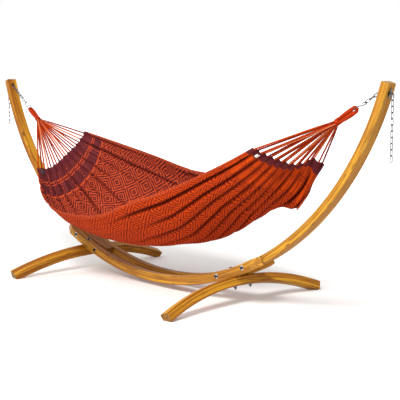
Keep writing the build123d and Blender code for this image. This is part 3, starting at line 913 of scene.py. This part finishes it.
# Neck binding: a barrel of close turns of cord round the loop's legs, closed at both ends
def makeBinding(side, lean):
    line = hangingLine(side)
    neck = np.array(hanging[side]["neck"])
    bore = 2 * loop["tube"] + loop["gap"] + 2 * (binding["length"] * math.tan(lean) + binding["gap"])
    outer = bore / 2 + binding["wall"]
    t = np.linspace(0, 1, binding["steps"])
    z = -binding["length"] + t * (binding["length"] + binding["floor"])
    bead = np.abs(np.sin(np.pi * binding["turns"] * t))
    barrel = outer - binding["bead"] + binding["bead"] * bead
    shut = np.minimum(1, np.minimum(t, 1 - t) / binding["rounding"])
    closing = binding["pole"] + (1 - binding["pole"]) * np.sqrt(1 - (1 - shut) ** 2)
    radius = barrel * np.where(shut < 1, closing, 1)
    wound = tube(neck + z[:, None] * line, radius, binding["sides"], yAxis)
    piece = meshPiece(side + "NeckBinding", [wound], [cordFinishes["loop"]])
    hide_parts("neck_binding_" + side)
    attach(piece, "hammock")


for side in sideSign:
    makeBinding(side, makeLoop(side))
print("loops and bindings made")

tab = {
    "width": {"left": 0.024, "right": 0.014},
    "length": {"left": 0.038, "right": 0.022},
    "fold": {"left": 1, "right": 2},
    "thickness": 0.0011,
    "inset": 0.014,
    "search": 0.06,  # share of the cloth's length that holds the tab
    "searchSteps": 60,
    "rows": 16,
    "columns": 12,
    "ribs": 900.0,  # in a metre
    "roughness": (0.0, 1.0, 0.75, 0.9),
    "bump": 0.0002,
}


def makeTape(name, light, dark):
    material, tree, shader = newMaterial(name)
    along, across, _ = add(tree, "SeparateXYZ", {0: add(tree, "UVMap", uv_map="weave").outputs[0]}).outputs
    weft, warp = (
        calc(tree, "PINGPONG", calc(tree, "MULTIPLY", way, tab["ribs"]), 0.5) for way in (along, across)
    )
    height = calc(tree, "ADD", weft, warp)
    # painted light and shade: rib tops lighter, the grooves between them darker
    color = mixColor(tree, height, screenColor(*dark), screenColor(*light))
    finishSurface(tree, shader, color, soften(tree, height, *tab["roughness"]), height, tab["bump"])
    return material


tapes = {
    "left": makeTape("darkTape", (52, 46, 50), (30, 26, 30)),
    "right": makeTape("paleTape", (240, 238, 232), (206, 202, 194)),
}


# Blank tab: a short strip of tape laid on the crest of a fold, following the cloth
def makeTab(side):
    index = tab["fold"][side]
    way = 1 if index % 2 else -1
    inward = np.abs(hanging[side]["end"] - np.linspace(0, tab["search"], tab["searchSteps"]))
    middle = np.full_like(inward, (index + 0.5) / fan["count"])
    crest = clothPoint(inward, middle, foldLift(inward, middle)[0])
    u = np.linspace(0, tab["length"][side], tab["rows"])
    v = np.linspace(-0.5, 0.5, tab["columns"]) * tab["width"][side]
    share = np.interp(tab["inset"] + u, runLength(crest), inward)[:, None]
    across = middle[0] + v[None, :] / clothWidth(share)
    share = np.broadcast_to(share, across.shape)
    spots = clothPoint(share, across, foldLift(share, across)[0])
    normal = unit(np.cross(np.gradient(spots, axis=0), np.gradient(spots, axis=1)))
    normal *= np.sign(normal[..., 2:]) * way
    spots = spots + normal * (cloth["thickness"] + tab["thickness"])
    piece = meshPiece(side + "Tab", [(spots, u, v - v[0], False, False)], [tapes[side]])
    wall = piece.modifiers.new("thickness", "SOLIDIFY")
    wall.thickness = tab["thickness"]
    wall.offset = 0
    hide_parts("label_tab_" + side)
    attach(piece, "hammock")


for side in sideSign:
    makeTab(side)
print("tabs made")

stage = {
    "size": 80,
    "floor": (240, 239, 237),
    "roughness": 0.9,
    "fade": (2.2, 5.0, 0.12, 1.0),  # the floor glows more between these distances, from faint to white
    "sky": 0.62,
    "aim": (0, 0, 0.6),
    "lamps": {
        "keyLamp": {"power": 420.0, "size": 2.0, "place": (2.5, -4.0, 5.0)},
        "fillLamp": {"power": 90.0, "size": 4.0, "place": (-4.0, -2.0, 4.0)},
    },
}
white = (1, 1, 1, 1)


def seenRay(tree):  # 1 for what the camera sees, directly, mirrored or through something clear
    path = add(tree, "LightPath").outputs
    seen = calc(tree, "MAXIMUM", path["Is Camera Ray"], path["Is Glossy Ray"])
    return calc(tree, "MAXIMUM", seen, path["Is Transmission Ray"])


# Studio: pale floor that fades to white with distance, even sky and two soft lamps
def makeStudio():
    bpy.ops.mesh.primitive_plane_add(size=stage["size"])
    floor = bpy.context.object
    floor.name = "floor"
    material, tree, shader = newMaterial("floorPaint")
    shader.inputs["Base Color"].default_value = screenColor(*stage["floor"])
    shader.inputs["Roughness"].default_value = stage["roughness"]
    shader.inputs["Emission Color"].default_value = white
    spot = add(tree, "TexCoord").outputs["Object"]
    far = add(tree, "VectorMath", {0: spot}, operation="LENGTH").outputs["Value"]
    glow = calc(tree, "MULTIPLY", seenRay(tree), soften(tree, far, *stage["fade"]))
    join(tree, glow, shader.inputs["Emission Strength"])
    floor.data.materials.append(material)
    world = bpy.data.worlds.new("sky")
    bpy.context.scene.world = world
    world.use_nodes = True
    tree = world.node_tree
    strength = calc(tree, "MULTIPLY_ADD", seenRay(tree), 1 - stage["sky"], stage["sky"])
    join(tree, strength, tree.nodes["Background"].inputs["Strength"])
    tree.nodes["Background"].inputs["Color"].default_value = white
    for name, look in stage["lamps"].items():
        lamp = bpy.data.lights.new(name, "AREA")
        lamp.energy = look["power"]
        lamp.size = look["size"]
        holder = bpy.data.objects.new(name, lamp)
        holder.location = look["place"]
        aim = Vector(stage["aim"]) - Vector(look["place"])
        holder.rotation_euler = aim.to_track_quat("-Z", "Y").to_euler()
        bpy.context.scene.collection.objects.link(holder)


makeStudio()

view = {"place": (4.3065, -3.6278, 1.1982), "turn": (82.82, 0.0, 47.61), "lens": 89.0, "sensor": 36}
camera = bpy.data.objects.new("camera", bpy.data.cameras.new("camera"))
camera.location = view["place"]
camera.rotation_euler = [math.radians(angle) for angle in view["turn"]]
camera.data.sensor_width = view["sensor"]
camera.data.lens = view["lens"]
bpy.context.scene.collection.objects.link(camera)
bpy.context.scene.camera = camera
bpy.context.scene.view_settings.view_transform = "Standard"
print("studio and camera set")
